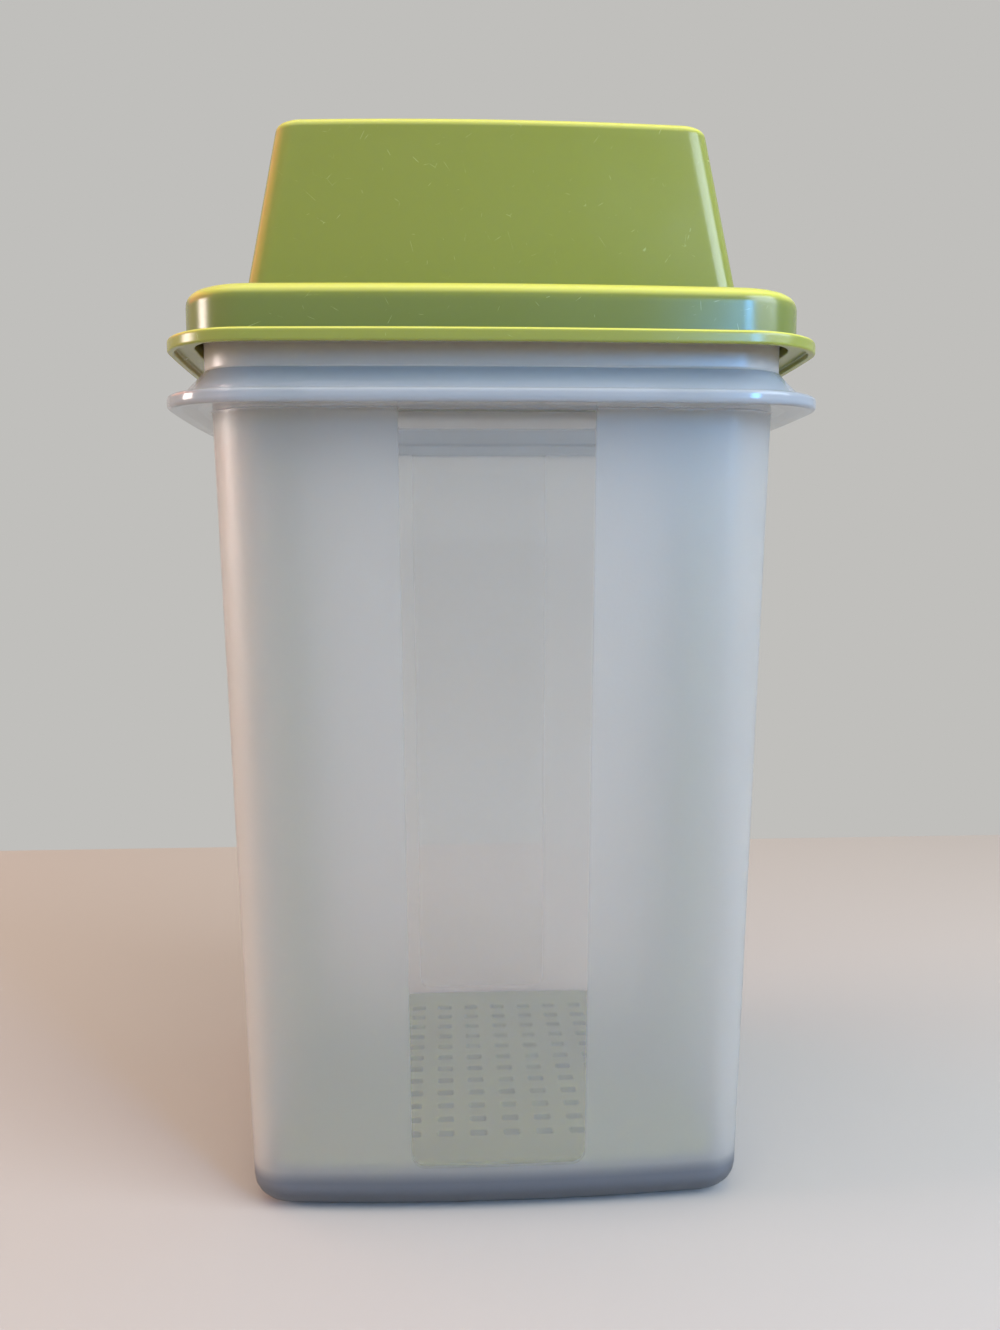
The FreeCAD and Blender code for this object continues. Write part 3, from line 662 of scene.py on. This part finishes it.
handle = {
    # middle of the strap, right half, from the foot up: across, up, bend radius
    "run": [
        (56.855, 11.6, 0), (56.855, 19.6, 16), (60.8, 220.5, 16), (48.4, 235.6, 12), (46.3, 260.2, 9),
    ],
    # channel section: along Y, inwards from the strap's middle, rounding
    "section": [(-19, -1, 0.7), (19, -1, 0.7), (19, 4.4, 0.5), (17, 4.4, 0.5),
                (17, 1, 0.8), (-17, 1, 0.8), (-17, 4.4, 0.5), (-19, 4.4, 0.5)],
    "bendSteps": 10,
    "sectionSteps": 3,
    "tongue": [(55.855, 12.4, 0.1), (57.855, 12.4, 0.1), (57.855, 9.6, 0.1), (58.955, 9.6, 0.2),
               (57.855, 7.2, 0.3), (55.855, 7.2, 0.3)],
    "tongueSteps": 2,
    "tongueHalf": 12.0,
}


def makeHandle(look):
    # the channel section carried along the rounded run, and a tongue with a toe at each foot
    right = np.array(look["run"])
    left = right[::-1] * (-1, 1, 1)
    run = np.vstack([right, left])
    path = roundCorners(run[:, :2], run[:, 2], look["bendSteps"], level=1)
    # at each point of the path the section stands across it, widened where the path turns
    step = np.diff(path, axis=0)
    step /= np.linalg.norm(step, axis=1)[:, None]
    before, after = np.vstack([step[:1], step]), np.vstack([step, step[-1:]])
    forward = before + after
    forward /= np.linalg.norm(forward, axis=1)[:, None]
    stretch = 1 / (forward * before).sum(1)
    inward = np.column_stack([-forward[:, 1], forward[:, 0]]) * stretch[:, None]
    shape = np.array(look["section"], float)
    section = roundCorners(shape[:, :2], shape[:, 2], look["sectionSteps"], level=1, closed=True)
    rings = np.empty((len(path), len(section), 3))
    rings[:, :, 0] = path[:, :1] + inward[:, :1] * section[:, 1]
    rings[:, :, 1] = section[:, 0]
    rings[:, :, 2] = path[:, 1:] + inward[:, 1:] * section[:, 1]
    points, faces = bands(rings)
    last = len(points) - len(section)
    faces += [list(range(len(section))), list(range(last, len(points)))]
    parts = [(points, faces)]
    tongue = np.array(look["tongue"], float)
    tongue = roundCorners(tongue[:, :2], tongue[:, 2], look["tongueSteps"], level=1, closed=True)
    count = len(tongue)
    for side in (-1, 1):
        ends = [
            np.column_stack([side * tongue[:, 0], np.full(count, y), tongue[:, 1]])
            for y in (-look["tongueHalf"], look["tongueHalf"])
        ]
        points, faces = bands(np.array(ends))
        faces += [list(range(count)), list(range(count, 2 * count))]
        parts.append((points, faces))
    return parts


makePiece("strainerHandle", makeHandle(handle), "strainer", "lift_handle", strainerPlastic)


# stage, lamps and camera

stage = {
    "floor": "#B5AFA9",
    "floorRoughness": 0.75,
    "surround": "#C0BFBC",
    "ambient": 0.86,          # strength for diffuse rays; 1 for what is seen or mirrored
    "backEdge": 304,          # the floor ends this far behind the middle
    "reach": 4000,
}


def makeFloor(look):
    material, _, surface, _ = newMaterial("paleFloor")
    surface.inputs["Base Color"].default_value = hexColour(look["floor"])
    surface.inputs["Roughness"].default_value = look["floorRoughness"]
    reach, back = look["reach"] * millimetre, look["backEdge"] * millimetre
    mesh = bpy.data.meshes.new("floor")
    corners = [(-reach, -reach, 0), (reach, -reach, 0), (reach, back, 0), (-reach, back, 0)]
    mesh.from_pydata(corners, [], [(0, 1, 2, 3)])
    mesh.materials.append(material)
    floor = bpy.data.objects.new("floor", mesh)
    bpy.context.scene.collection.objects.link(floor)

    world = bpy.data.worlds.new("surround")
    bpy.context.scene.world = world
    world.use_nodes = True
    tree = world.node_tree
    background = tree.nodes["Background"]
    background.inputs["Color"].default_value = hexColour(look["surround"])
    ray = addNode(tree, "ShaderNodeLightPath").outputs
    seen = ray["Is Camera Ray"]
    for kind in ("Is Glossy Ray", "Is Transmission Ray"):
        seen = addNode(tree, "ShaderNodeMath", {
            0: seen, 1: ray[kind],
        }, operation="MAXIMUM").outputs[0]
    strength = addNode(tree, "ShaderNodeMapRange", {
        "Value": seen, "To Min": look["ambient"], "To Max": 1.0,
    })
    tree.links.new(strength.outputs[0], background.inputs["Strength"])


lamps = [
    # name, place and target in metres, width and height in metres, colour, watts
    ("warmWindow", (-1.25, -0.05, 0.40), (0, -0.05, 0.2), (0.34, 0.40), "#FFEDE5", 8.4),
    ("coolScreen", (0.31, -0.54, 0.31), (0.06, -0.07, 0.21), (0.085, 0.18), "#66B5FF", 1.7),
    ("coolWall", (0.56, -0.40, 0.54), (0.03, -0.03, 0.20), (0.52, 0.42), "#DCEDFF", 5.8),
    ("brownDoor", (-1.05, 0.25, 0.75), (0, 0, 0.2), (1.2, 0.5), "#FF8246", 4.0),
    ("ceiling", (0.0, -0.30, 1.35), (0, -0.1, 0.1), (1.7, 1.3), "#FFF4DE", 11),
]


def makeLamps(rows):
    for name, place, target, size, colour, watts in rows:
        light = bpy.data.lights.new(name, "AREA")
        light.shape = "RECTANGLE"
        light.size, light.size_y = size
        light.color = hexColour(colour)[:3]
        light.energy = watts
        lamp = bpy.data.objects.new(name, light)
        bpy.context.scene.collection.objects.link(lamp)
        direction = Vector(target) - Vector(place)
        lamp.rotation_euler = direction.to_track_quat("-Z", "Y").to_euler()
        lamp.location = place


view = {
    "place": (-13.37, -331.19, 165.96),
    "turn": 2.96,      # degrees to the right of +Y
    "dip": 5.68,       # degrees below level
    "roll": -0.16,
    "lens": 30.58,
    "sensor": 36,      # along the picture's long side
    "clip": (0.01, 50),
}


def makeCamera(look):
    turn, dip, roll = (math.radians(look[key]) for key in ("turn", "dip", "roll"))
    forward = Vector((math.sin(turn) * math.cos(dip), math.cos(turn) * math.cos(dip), -math.sin(dip)))
    level = Vector((math.cos(turn), -math.sin(turn), 0))
    upright = level.cross(forward)
    right = level * math.cos(roll) + upright * math.sin(roll)
    above = upright * math.cos(roll) - level * math.sin(roll)
    data = bpy.data.cameras.new("camera")
    data.lens = look["lens"]
    data.sensor_width = look["sensor"]
    data.clip_start, data.clip_end = look["clip"]
    camera = bpy.data.objects.new("camera", data)
    bpy.context.scene.collection.objects.link(camera)
    place = Matrix((right, above, -forward)).transposed().to_4x4()
    place.translation = Vector(look["place"]) * millimetre
    camera.matrix_world = place
    bpy.context.scene.camera = camera


makeFloor(stage)
makeLamps(lamps)
makeCamera(view)
bpy.context.scene.view_settings.view_transform = "Standard"
print("stage ready")
